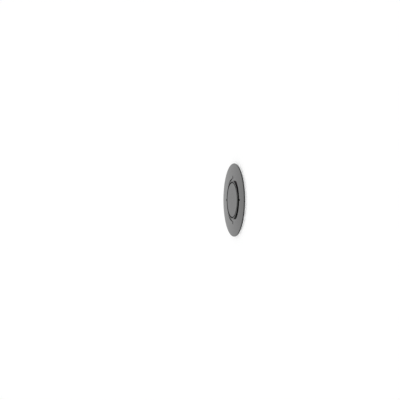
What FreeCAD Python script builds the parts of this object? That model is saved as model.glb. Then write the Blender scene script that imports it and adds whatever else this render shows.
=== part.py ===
"""Adhesive phone mount plate: a thin domed disc with a snap hub in a round recess, and a clear adhesive pad.

Millimetres. Z points away from the phone, and the origin is at the centre of the pad's adhesive face.
A holder's ring drops into the recess and snaps over the lip of the hub's collar, which gives inwards into
the groove behind it. Pegs on the holder stand in the notches and stop it from turning.
"""
import FreeCAD
import Part
import math
import os

# Adhesive pad
PAD_DIAMETER = 59.0
PAD_THICKNESS = 1.2

# Base plate
PLATE_DIAMETER = 60.0
RIM_THICKNESS = 1.0
CROWN_RISE = 0.43  # climb of the front face from the rim to the recess
FLOOR_THICKNESS = 0.8  # from the flat back to the recess floor
RIM_ROUND = 0.4  # of the rim's front edge
BACK_BREAK = 0.15  # of the rim's back edge
RECESS_BREAK = 0.15  # of the recess's edge

# Centre disc of the hub
DISC_DIAMETER = 27.8
DISC_HEIGHT = 1.3  # above the recess floor
DISC_BREAK = 0.2  # of its front edge

# Springy collar of the hub
GROOVE_WIDTH = 1.15  # between the disc and the collar
WEB_THICKNESS = 0.6  # from the flat back to the groove's floor
COLLAR_WALL = 0.45
COLLAR_HEIGHT = 1.4  # above the recess floor
COLLAR_BREAK = 0.1  # of its inner edge
LIP_OVERHANG = 0.35
LIP_HEIGHT = 0.75  # from the collar's top to the lip's sloped underside
LEAD_IN = 0.12  # bevel of the lip's top edge

# Flange of the hub, which bears under the plate
FLANGE_WIDTH = 3.9  # out from the collar
FLANGE_THICKNESS = 0.35
SEAM_BREAK = 0.15  # of the flange's back edge and of the plate's edge around it

# Fits
HOLDER_GAP = 2.05  # radial way down between the lip and the recess wall
HUB_CLEARANCE = 0.05  # radial, between the hub and the plate

# Index notches in the recess's edge
NOTCH_COUNT = 4
NOTCH_WIDTH = 1.6
NOTCH_REACH = 2.1  # out from the recess wall
NOTCH_DEPTH = 0.45  # down from the recess's edge

# Radii worked out from the sizes above
PLATE_R = PLATE_DIAMETER / 2
DISC_R = DISC_DIAMETER / 2
GROOVE_R = DISC_R + GROOVE_WIDTH
COLLAR_R = GROOVE_R + COLLAR_WALL
LIP_R = COLLAR_R + LIP_OVERHANG
RECESS_R = LIP_R + HOLDER_GAP
FLANGE_R = COLLAR_R + FLANGE_WIDTH

# Levels worked out from the sizes above
BACK_Z = PAD_THICKNESS
LEDGE_Z = BACK_Z + FLANGE_THICKNESS
GROOVE_Z = BACK_Z + WEB_THICKNESS
FLOOR_Z = BACK_Z + FLOOR_THICKNESS
RIM_Z = BACK_Z + RIM_THICKNESS
RECESS_EDGE_Z = RIM_Z + CROWN_RISE
DISC_Z = FLOOR_Z + DISC_HEIGHT
COLLAR_Z = FLOOR_Z + COLLAR_HEIGHT
LIP_Z = COLLAR_Z - LIP_HEIGHT

# Sphere of the crown: centred on the Z axis, through the rim's front edge and the recess's edge
CROWN_CENTRE_Z = (RECESS_EDGE_Z + RIM_Z) / 2 - (PLATE_R**2 - RECESS_R**2) / (2 * CROWN_RISE)
CROWN_R = math.hypot(PLATE_R, RIM_Z - CROWN_CENTRE_Z)

ORIGIN = FreeCAD.Vector(0, 0, 0)
AXIS = FreeCAD.Vector(0, 0, 1)
FULL_TURN = 360.0


def point(radius, height):
    """Point of a half section, which is drawn in the XZ plane."""
    return FreeCAD.Vector(radius, 0, height)


def crown_point(radius):
    """Point of the crown's sphere at this radius."""
    return point(radius, CROWN_CENTRE_Z + math.sqrt(CROWN_R**2 - radius**2))


def lines(*points):
    """Straight edges from each point to the next."""
    return [Part.LineSegment(a, b).toShape() for a, b in zip(points, points[1:])]


def round_edge(start, centre, end):
    """The shorter arc from start to end about this centre."""
    middle = (start - centre) + (end - centre)
    middle.normalize()
    return Part.Arc(start, centre + middle * start.distanceToPoint(centre), end).toShape()


def turned(edges):
    """Solid made by turning a closed half section about the Z axis."""
    return Part.Face(Part.Wire(edges)).revolve(ORIGIN, AXIS, FULL_TURN)


def notch_cutters():
    """Round-ended radial slots, evenly spaced about the Z axis, that run out from inside the recess."""
    half_width = NOTCH_WIDTH / 2
    bottom_z = RECESS_EDGE_Z - NOTCH_DEPTH
    height = 2 * NOTCH_DEPTH
    start_x = RECESS_R - half_width
    end_x = RECESS_R + NOTCH_REACH - half_width
    corner = FreeCAD.Vector(start_x, -half_width, bottom_z)
    straight = Part.makeBox(end_x - start_x, NOTCH_WIDTH, height, corner)
    end = Part.makeCylinder(half_width, height, point(end_x, bottom_z), AXIS)
    slot = straight.fuse(end).removeSplitter()
    cutters = []
    for index in range(NOTCH_COUNT):
        cutter = slot.copy()
        cutter.rotate(ORIGIN, AXIS, index * FULL_TURN / NOTCH_COUNT)
        cutters.append(cutter)
    return cutters


def base_plate():
    """Domed disc with a thin rim, a round recess with index notches, and a stepped hole for the hub."""
    hole_r = COLLAR_R + HUB_CLEARANCE
    step_r = FLANGE_R + HUB_CLEARANCE

    # The rim's round touches the crown on the line from the crown's centre through its own centre
    round_r = PLATE_R - RIM_ROUND
    round_z = CROWN_CENTRE_Z + math.sqrt((CROWN_R - RIM_ROUND) ** 2 - round_r**2)
    rim_side = point(PLATE_R, round_z)
    rim_top = crown_point(round_r * CROWN_R / (CROWN_R - RIM_ROUND))
    recess_top = crown_point(RECESS_R + RECESS_BREAK)

    back = lines(
        point(hole_r, FLOOR_Z),
        point(hole_r, LEDGE_Z),
        point(step_r, LEDGE_Z),
        point(step_r, BACK_Z + SEAM_BREAK),
        point(step_r + SEAM_BREAK, BACK_Z),
        point(PLATE_R - BACK_BREAK, BACK_Z),
        point(PLATE_R, BACK_Z + BACK_BREAK),
        rim_side,
    )
    rim = round_edge(rim_side, point(round_r, round_z), rim_top)
    crown = Part.Arc(rim_top, crown_point((PLATE_R + RECESS_R) / 2), recess_top).toShape()
    recess = lines(
        recess_top,
        point(RECESS_R, recess_top.z - RECESS_BREAK),
        point(RECESS_R, FLOOR_Z),
        point(hole_r, FLOOR_Z),
    )
    return turned(back + [rim, crown] + recess).cut(notch_cutters())


def locking_hub():
    """Flat disc, a thin collar with an undercut lip around it, and a flange that bears under the plate."""
    section = lines(
        point(0, DISC_Z),
        point(DISC_R - DISC_BREAK, DISC_Z),
        point(DISC_R, DISC_Z - DISC_BREAK),
        point(DISC_R, GROOVE_Z),
        point(GROOVE_R, GROOVE_Z),
        point(GROOVE_R, COLLAR_Z - COLLAR_BREAK),
        point(GROOVE_R + COLLAR_BREAK, COLLAR_Z),
        point(LIP_R - LEAD_IN, COLLAR_Z),
        point(LIP_R, COLLAR_Z - LEAD_IN),
        point(LIP_R, LIP_Z),
        point(COLLAR_R, LIP_Z - LIP_OVERHANG),
        point(COLLAR_R, LEDGE_Z),
        point(FLANGE_R, LEDGE_Z),
        point(FLANGE_R, BACK_Z + SEAM_BREAK),
        point(FLANGE_R - SEAM_BREAK, BACK_Z),
        point(0, BACK_Z),
        point(0, DISC_Z),
    )
    return turned(section)


def adhesive_pad():
    """Clear double-sided disc on the plate's flat back."""
    return Part.makeCylinder(PAD_DIAMETER / 2, PAD_THICKNESS)


os.makedirs("parts", exist_ok=True)
for node in (base_plate, locking_hub, adhesive_pad):
    node().exportStep(f"parts/{node.__name__}.step")
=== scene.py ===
"""Looks of the adhesive phone mount plate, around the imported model. Metres, in the model's own frame."""
import math

import bmesh
import bpy
from mathutils import Matrix, Vector


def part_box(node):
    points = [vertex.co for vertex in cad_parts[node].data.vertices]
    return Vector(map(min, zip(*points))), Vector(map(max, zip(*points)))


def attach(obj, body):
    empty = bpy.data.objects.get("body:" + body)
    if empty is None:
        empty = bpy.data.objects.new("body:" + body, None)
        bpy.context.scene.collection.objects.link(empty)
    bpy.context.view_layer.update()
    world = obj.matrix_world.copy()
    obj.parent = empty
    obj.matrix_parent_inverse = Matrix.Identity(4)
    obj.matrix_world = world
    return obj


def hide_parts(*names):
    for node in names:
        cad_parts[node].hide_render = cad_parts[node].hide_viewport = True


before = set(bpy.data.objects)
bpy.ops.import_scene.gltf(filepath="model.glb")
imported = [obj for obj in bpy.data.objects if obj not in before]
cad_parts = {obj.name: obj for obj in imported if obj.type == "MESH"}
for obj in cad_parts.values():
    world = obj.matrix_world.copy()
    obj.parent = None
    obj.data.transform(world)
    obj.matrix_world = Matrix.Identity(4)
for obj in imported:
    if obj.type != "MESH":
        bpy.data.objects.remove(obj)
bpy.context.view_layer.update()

MM = 0.001
FULL_TURN = 2 * math.pi
WHITE = (1, 1, 1, 1)

# Camera: where the plate lies in the 400 x 400 picture, and the angle it is seen at
IMAGE_PIXELS = 400
FOCAL_PIXELS = 1150
PLATE_PIXELS = 73.3  # the plate's height in the picture
PLATE_PIXEL_X = 233.3  # the middle of the rim's front edge
PLATE_ELEVATION = math.radians(16.37)  # of the line of sight above the plate's face
SENSOR_WIDTH = 36.0

# Base plate: the sizes of the solid that it stands for
RIM_THICKNESS = 1.0 * MM
RIM_ROUND = 0.4 * MM  # of the rim's front edge
EDGE_BREAK = 0.15 * MM  # of the other edges
CROWN_RISE = 0.43 * MM  # climb of the front face from the rim to the recess
RECESS_RADIUS = 17.9 * MM
RECESS_FLOOR = 0.8 * MM  # above the flat back
HOLE_RADIUS = 15.55 * MM  # for the hub's collar
STEP_RADIUS = 19.45 * MM  # for the hub's flange
STEP_DEPTH = 0.35 * MM
NOTCH_COUNT = 4
NOTCH_WIDTH = 1.6 * MM
NOTCH_REACH = 2.1 * MM  # out from the recess wall
NOTCH_DEPTH = 0.45 * MM  # down from the recess's edge

# Base plate: how finely it is divided
PLATE_SEGMENTS = 360
PLATE_SHIFT = 0.5  # of a segment, which keeps the corners off the notches' middles
ROUND_STEPS = 10
CROWN_STEPS = 24
NOTCH_END_STEPS = 16
SMOOTH_ANGLE = math.radians(30)  # a sharper turn stays an edge

# Moulded plastic: the plate is a little glossier than the hub
PLASTIC_DARK = (0.008, 0.008, 0.0084, 1)
PLASTIC_LIGHT = (0.012, 0.012, 0.0126, 1)
PLATE_GLOSS = 0.46  # specular level: 0.5 reflects 4 % head on
PLATE_ROUGHNESS = (0.05, 0.11)
HUB_GLOSS = 0.38
HUB_ROUGHNESS = (0.08, 0.16)
TONE_SIZE, TONE_DETAIL = 9 * MM, 3  # drifts of tone
SHEEN_SIZE, SHEEN_DETAIL = 1.5 * MM, 4  # drifts of roughness
GRAIN_SIZE, GRAIN_DETAIL = 0.2 * MM, 2
GRAIN_HEIGHT = 0.0012 * MM
EDGE_SOFTNESS = 0.08 * MM
EDGE_SAMPLES = 6

# Clear adhesive
PAD_SEGMENTS = 256
PAD_EDGE_STEPS = 12
PAD_BULGE = 0.22 * MM  # how far the cut edge swells out between its two faces
PAD_WAVER = 0.04 * MM  # unevenness of the cut
PAD_WAVES = ((7, 0.6, 0), (19, 0.4, 1))  # waves in a turn, share of the unevenness, phase
PAD_FILM = 0.01 * MM  # room that is left between the pad and the plate
PAD_COLOUR = (0.96, 0.965, 0.965, 1)
PAD_IOR = 1.47
FROSTING_WIDTH = 0.6 * MM  # of the band along the cut edge
FROSTING_DRIFT = 0.2 * MM  # how far that band's inner edge wanders to each side
DRIFT_SIZE, DRIFT_DETAIL = 2.5 * MM, 3
CLEAR_TRANSMISSION, FROSTED_TRANSMISSION = 1, 0.1
CLEAR_ROUGHNESS, FROSTED_ROUGHNESS = 0.3, 0.5

# Floor
FLOOR_RADIUS = 6.0
FLOOR_SEGMENTS = 256
FLOOR_GAP = 0.02 * MM  # between the floor and the pad
FLOOR_OPENING = 0.99  # share of the pad's radius that is open below it, for light on its underside
FLOOR_COLOUR = (0.92, 0.92, 0.92, 1)
FLOOR_GLOW = 0.5  # share of the floor's white that shadow doesn't darken

# Light: white and even, but a little brighter near the horizon and on one side overhead
LIGHT_SIDE = (-0.6, 0.8, 0)
LIGHT_LEAN = 0.9  # how much brighter that side is
LEAN_WIDTH = 0.15  # of the soft change from one side to the other, as a sine
LEAN_START, LEAN_FULL = 0.84, 0.95  # height in the sky, 0 at the horizon and 1 overhead
HORIZON_GLOW = 0.14  # how much brighter the sky is near the horizon
GLOW_FULL, GLOW_END = 0.15, 0.42  # height in the sky


def steps(start, end, count):
    """Evenly spaced values from start to end, both included."""
    return [start + (end - start) * step / count for step in range(count + 1)]


def polar(radius, turn, height):
    """Point at this radius and turn about the Z axis."""
    return radius * math.cos(turn), radius * math.sin(turn), height


def circle(shape, radius, height, count, shift=0):
    """Corners evenly spaced on a circle about the Z axis, shifted by this share of a segment."""
    turns = [FULL_TURN * (index + shift) / count for index in range(count)]
    return [shape.verts.new(polar(radius, turn, height)) for turn in turns]


def bridge(shape, ring, onward):
    """Faces between two rings of equally many corners."""
    return [
        shape.faces.new((ring[index - 1], ring[index], onward[index], onward[index - 1]))
        for index in range(len(ring))
    ]


def add_object(name, shape):
    """The finished shape as an object of the scene."""
    mesh = bpy.data.meshes.new(name)
    shape.to_mesh(mesh)
    shape.free()
    made = bpy.data.objects.new(name, mesh)
    bpy.context.scene.collection.objects.link(made)
    return made


def cut_away(body, cutters):
    """Cuts the cutters out of the body and deletes them."""
    uncut = body.data
    cut = body.modifiers.new("cut", "BOOLEAN")
    cut.object = cutters
    cut.solver = "EXACT"
    result = body.evaluated_get(bpy.context.evaluated_depsgraph_get())
    body.data = bpy.data.meshes.new_from_object(result)
    body.modifiers.clear()
    bpy.data.meshes.remove(uncut)
    bpy.data.meshes.remove(cutters.data)  # the cutters' object goes with its mesh


def dress(piece, material):
    """Gives a piece this material all over."""
    piece.data.materials.clear()
    piece.data.materials.append(material)


def new_material(name):
    """A new material and its node tree."""
    material = bpy.data.materials.new(name)
    material.use_nodes = True
    return material, material.node_tree


def operate(tree, kind, operation, *inputs):
    """A math node, with its inputs linked to sockets or set to plain values."""
    node = tree.nodes.new(kind)
    node.operation = operation
    for socket, value in zip(node.inputs, inputs):
        if isinstance(value, bpy.types.NodeSocket):
            tree.links.new(value, socket)
        else:
            socket.default_value = value
    return node


def spread(tree, value, low, high, start=0, end=1, smooth=False):
    """A value that runs from start to end, stretched to run from low to high and held there beyond."""
    stretch = tree.nodes.new("ShaderNodeMapRange")
    stretch.interpolation_type = "SMOOTHSTEP" if smooth else "LINEAR"
    limits = {"From Min": start, "From Max": end, "To Min": low, "To Max": high}
    for name, limit in limits.items():
        stretch.inputs[name].default_value = limit
    tree.links.new(value, stretch.inputs["Value"])
    return stretch.outputs["Result"]


def mix(tree, share, first, second):
    """Two shaders mixed, with this share of the second."""
    mixer = tree.nodes.new("ShaderNodeMixShader")
    for socket, value in zip(mixer.inputs, (share, first, second)):
        tree.links.new(value, socket)
    return mixer.outputs["Shader"]


def object_noise(tree, size, detail):
    """Noise in the part's own coordinates, with blotches of about this size."""
    coordinates = tree.nodes.new("ShaderNodeTexCoord")
    noise = tree.nodes.new("ShaderNodeTexNoise")
    noise.inputs["Scale"].default_value = 1 / size
    noise.inputs["Detail"].default_value = detail
    tree.links.new(coordinates.outputs["Object"], noise.inputs["Vector"])
    return noise.outputs["Fac"]


def black_plastic(name, gloss, roughness):
    """Smooth black moulding with a fine grain and softened edges."""
    material, tree = new_material(name)
    shader = tree.nodes["Principled BSDF"]
    shader.inputs["Specular IOR Level"].default_value = gloss

    tint = tree.nodes.new("ShaderNodeMix")
    tint.data_type = "RGBA"
    tint.inputs["A"].default_value = PLASTIC_DARK
    tint.inputs["B"].default_value = PLASTIC_LIGHT
    tree.links.new(object_noise(tree, TONE_SIZE, TONE_DETAIL), tint.inputs["Factor"])
    tree.links.new(tint.outputs["Result"], shader.inputs["Base Color"])

    sheen = object_noise(tree, SHEEN_SIZE, SHEEN_DETAIL)
    tree.links.new(spread(tree, sheen, *roughness), shader.inputs["Roughness"])

    bevel = tree.nodes.new("ShaderNodeBevel")
    bevel.samples = EDGE_SAMPLES
    bevel.inputs["Radius"].default_value = EDGE_SOFTNESS
    grain = tree.nodes.new("ShaderNodeBump")
    grain.inputs["Distance"].default_value = GRAIN_HEIGHT
    tree.links.new(object_noise(tree, GRAIN_SIZE, GRAIN_DETAIL), grain.inputs["Height"])
    tree.links.new(bevel.outputs["Normal"], grain.inputs["Normal"])
    tree.links.new(grain.outputs["Normal"], shader.inputs["Normal"])
    return material


def clear_adhesive():
    """Soft clear acrylic, frosted white along its cut edge."""
    material, tree = new_material("clear_adhesive")
    shader = tree.nodes["Principled BSDF"]
    shader.inputs["Base Color"].default_value = PAD_COLOUR
    shader.inputs["IOR"].default_value = PAD_IOR

    # The distance from the Z axis, made uneven, tells where the frosting is
    place = tree.nodes.new("ShaderNodeTexCoord").outputs["Object"]
    flat = operate(tree, "ShaderNodeVectorMath", "MULTIPLY", place, (1, 1, 0)).outputs["Vector"]
    radius = operate(tree, "ShaderNodeVectorMath", "LENGTH", flat).outputs["Value"]
    noise = object_noise(tree, DRIFT_SIZE, DRIFT_DETAIL)
    drift = spread(tree, noise, -FROSTING_DRIFT, FROSTING_DRIFT)
    drifted = operate(tree, "ShaderNodeMath", "ADD", radius, drift).outputs["Value"]
    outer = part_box("adhesive_pad")[1].x
    frosting = spread(tree, drifted, 0, 1, outer - FROSTING_WIDTH, outer - PAD_BULGE)

    transmission = spread(tree, frosting, CLEAR_TRANSMISSION, FROSTED_TRANSMISSION)
    tree.links.new(transmission, shader.inputs["Transmission Weight"])
    roughness = spread(tree, frosting, CLEAR_ROUGHNESS, FROSTED_ROUGHNESS)
    tree.links.new(roughness, shader.inputs["Roughness"])
    return material


def adhesive_contact():
    """The face that is stuck to the plate: no air is left there, so that it reflects nothing of its own."""
    material, tree = new_material("adhesive_contact")
    tree.nodes["Principled BSDF"].inputs["Alpha"].default_value = 0
    return material


def white_floor():
    """Matt white that keeps a soft shadow, and clear from underneath."""
    material, tree = new_material("floor")
    shader = tree.nodes["Principled BSDF"]
    shader.inputs["Base Color"].default_value = FLOOR_COLOUR
    shader.inputs["Roughness"].default_value = 1
    shader.inputs["Specular IOR Level"].default_value = 0

    path = tree.nodes.new("ShaderNodeLightPath")
    seen = path.outputs["Is Camera Ray"]
    for ray in ("Is Glossy Ray", "Is Transmission Ray"):
        seen = operate(tree, "ShaderNodeMath", "MAXIMUM", seen, path.outputs[ray]).outputs["Value"]
    glow = tree.nodes.new("ShaderNodeEmission").outputs["Emission"]
    lit = mix(tree, spread(tree, seen, 0, FLOOR_GLOW), shader.outputs["BSDF"], glow)

    below = tree.nodes.new("ShaderNodeNewGeometry").outputs["Backfacing"]
    clear = tree.nodes.new("ShaderNodeBsdfTransparent").outputs["BSDF"]
    tree.links.new(mix(tree, below, lit, clear), tree.nodes["Material Output"].inputs["Surface"])
    return material


def plate_section():
    """Closed half section of the plate, as pairs of radius and height."""
    low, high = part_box("base_plate")
    outer, back = high.x, low.z
    floor, ledge, rim = back + RECESS_FLOOR, back + STEP_DEPTH, back + RIM_THICKNESS
    below = [
        (HOLE_RADIUS, floor),
        (HOLE_RADIUS, ledge),
        (STEP_RADIUS, ledge),
        (STEP_RADIUS, back + EDGE_BREAK),
        (STEP_RADIUS + EDGE_BREAK, back),
        (outer - EDGE_BREAK, back),
        (outer, back + EDGE_BREAK),
    ]

    # The crown is a sphere through the rim's front edge and the recess's edge
    centre = rim + CROWN_RISE / 2 - (outer**2 - RECESS_RADIUS**2) / (2 * CROWN_RISE)
    sphere = math.hypot(outer, rim - centre)

    # The rim's round touches the crown on the line from the crown's centre through its own centre
    round_radius = outer - RIM_ROUND
    round_height = centre + math.sqrt((sphere - RIM_ROUND) ** 2 - round_radius**2)
    touch = math.atan2(round_height - centre, round_radius)
    rim_round = [
        (round_radius + RIM_ROUND * math.cos(angle), round_height + RIM_ROUND * math.sin(angle))
        for angle in steps(0, touch, ROUND_STEPS)
    ]

    radii = steps(rim_round[-1][0], RECESS_RADIUS + EDGE_BREAK, CROWN_STEPS)[1:]
    crown = [(radius, centre + math.sqrt(sphere**2 - radius**2)) for radius in radii]
    recess = [(RECESS_RADIUS, crown[-1][1] - EDGE_BREAK), (RECESS_RADIUS, floor)]
    return below + rim_round + crown + recess


def notch_cutters():
    """Round-ended radial slots that run out from inside the recess."""
    half = NOTCH_WIDTH / 2
    start = RECESS_RADIUS - half
    end = RECESS_RADIUS + NOTCH_REACH - half
    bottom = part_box("base_plate")[0].z + RIM_THICKNESS + CROWN_RISE - NOTCH_DEPTH
    outline = [(start, half), (start, -half)]
    for angle in steps(-math.pi / 2, math.pi / 2, NOTCH_END_STEPS):
        outline.append((end + half * math.cos(angle), half * math.sin(angle)))
    shape = bmesh.new()
    for index in range(NOTCH_COUNT):
        turn = Matrix.Rotation(FULL_TURN * index / NOTCH_COUNT, 4, "Z")
        under, over = [
            [shape.verts.new(turn @ Vector((x, y, height))) for x, y in outline]
            for height in (bottom, bottom + 2 * NOTCH_DEPTH)
        ]
        shape.faces.new(under[::-1])
        shape.faces.new(over)
        bridge(shape, under, over)
    return add_object("notches", shape)


def add_plate():
    """The moulded plate, so finely divided that its rim is even."""
    shape = bmesh.new()
    section = plate_section()
    rings = [circle(shape, radius, height, PLATE_SEGMENTS, PLATE_SHIFT) for radius, height in section]
    for ring, onward in zip(rings, rings[1:] + rings[:1]):
        bridge(shape, ring, onward)
    plate = add_object("moulded_plate", shape)
    cut_away(plate, notch_cutters())
    plate.data.shade_smooth()
    plate.data.set_sharp_from_angle(angle=SMOOTH_ANGLE)
    dress(plate, black_plastic("plate_plastic", PLATE_GLOSS, PLATE_ROUGHNESS))
    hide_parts("base_plate")
    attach(plate, "root")


def cut_radius(turn):
    """Radius of the pad's uneven cut at this turn."""
    waver = sum(share * math.sin(waves * turn + phase) for waves, share, phase in PAD_WAVES)
    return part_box("adhesive_pad")[1].x - PAD_WAVER + PAD_WAVER * waver


def add_pad():
    """The adhesive disc with its soft cut edge, which swells between the faces and wavers a little."""
    low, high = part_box("adhesive_pad")
    thickness = high.z - PAD_FILM - low.z
    turns = steps(0, FULL_TURN, PAD_SEGMENTS)[:-1]
    radii = [cut_radius(turn) for turn in turns]
    shape = bmesh.new()
    rings = []
    for rise in steps(0, 1, PAD_EDGE_STEPS):
        inset = PAD_BULGE * (1 - math.sqrt(math.sin(math.pi * rise)))
        height = low.z + thickness * (1 - math.cos(math.pi * rise)) / 2
        corners = [polar(radius - inset, turn, height) for turn, radius in zip(turns, radii)]
        rings.append([shape.verts.new(corner) for corner in corners])
    for ring, onward in zip(rings, rings[1:]):
        for wall in bridge(shape, ring, onward):
            wall.smooth = True
    shape.faces.new(rings[0][::-1])
    contact = shape.faces.new(rings[-1])
    contact.material_index = 1
    pad = add_object("clear_pad", shape)
    pad.data.materials.append(clear_adhesive())
    pad.data.materials.append(adhesive_contact())
    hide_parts("adhesive_pad")
    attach(pad, "root")


def add_floor():
    """Wide floor that is open below the pad."""
    low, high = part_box("adhesive_pad")
    shape = bmesh.new()
    inner = circle(shape, FLOOR_OPENING * high.x, low.z - FLOOR_GAP, FLOOR_SEGMENTS)
    outer = circle(shape, FLOOR_RADIUS, low.z - FLOOR_GAP, FLOOR_SEGMENTS)
    bridge(shape, outer, inner)
    floor = add_object("floor", shape)
    dress(floor, white_floor())


def add_light():
    """White light from all round, a little brighter near the horizon and on one side overhead."""
    world = bpy.data.worlds.new("studio")
    world.use_nodes = True
    tree = world.node_tree
    direction = tree.nodes.new("ShaderNodeTexCoord").outputs["Generated"]
    split = tree.nodes.new("ShaderNodeSeparateXYZ")
    tree.links.new(direction, split.inputs["Vector"])
    height = split.outputs["Z"]
    across = operate(tree, "ShaderNodeVectorMath", "DOT_PRODUCT", direction, LIGHT_SIDE).outputs["Value"]
    lean = spread(tree, across, 0, LIGHT_LEAN, -LEAN_WIDTH, LEAN_WIDTH, smooth=True)
    overhead = spread(tree, height, 0, 1, LEAN_START, LEAN_FULL, smooth=True)
    horizon = spread(tree, height, 1 + HORIZON_GLOW, 1, GLOW_FULL, GLOW_END, smooth=True)
    strength = operate(tree, "ShaderNodeMath", "MULTIPLY_ADD", lean, overhead, horizon)
    background = tree.nodes["Background"]
    background.inputs["Color"].default_value = WHITE
    tree.links.new(strength.outputs["Value"], background.inputs["Strength"])
    bpy.context.scene.world = world


def add_camera():
    """Looks low across the plate, rolled so that the plate's face is upright in the picture."""
    low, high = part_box("base_plate")
    rim_front = Vector((0, 0, low.z + RIM_THICKNESS))
    off_axis = math.atan((PLATE_PIXEL_X - IMAGE_PIXELS / 2) / FOCAL_PIXELS)
    distance = FOCAL_PIXELS * (high.x - low.x) / PLATE_PIXELS / math.cos(off_axis)
    tilt = PLATE_ELEVATION - off_axis
    right = Vector((math.sin(tilt), 0, -math.cos(tilt)))
    up = Vector((0, 1, 0))
    turn = Matrix((right, up, right.cross(up))).transposed().to_4x4()
    place = rim_front + distance * Vector((math.cos(PLATE_ELEVATION), 0, math.sin(PLATE_ELEVATION)))
    data = bpy.data.cameras.new("camera")
    data.sensor_width = SENSOR_WIDTH
    data.lens = FOCAL_PIXELS * SENSOR_WIDTH / IMAGE_PIXELS
    camera = bpy.data.objects.new("camera", data)
    camera.matrix_world = Matrix.Translation(place) @ turn
    bpy.context.scene.collection.objects.link(camera)
    bpy.context.scene.camera = camera


add_plate()
dress(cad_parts["locking_hub"], black_plastic("hub_plastic", HUB_GLOSS, HUB_ROUGHNESS))
add_pad()
add_floor()
add_light()
add_camera()
bpy.context.scene.view_settings.view_transform = "Standard"
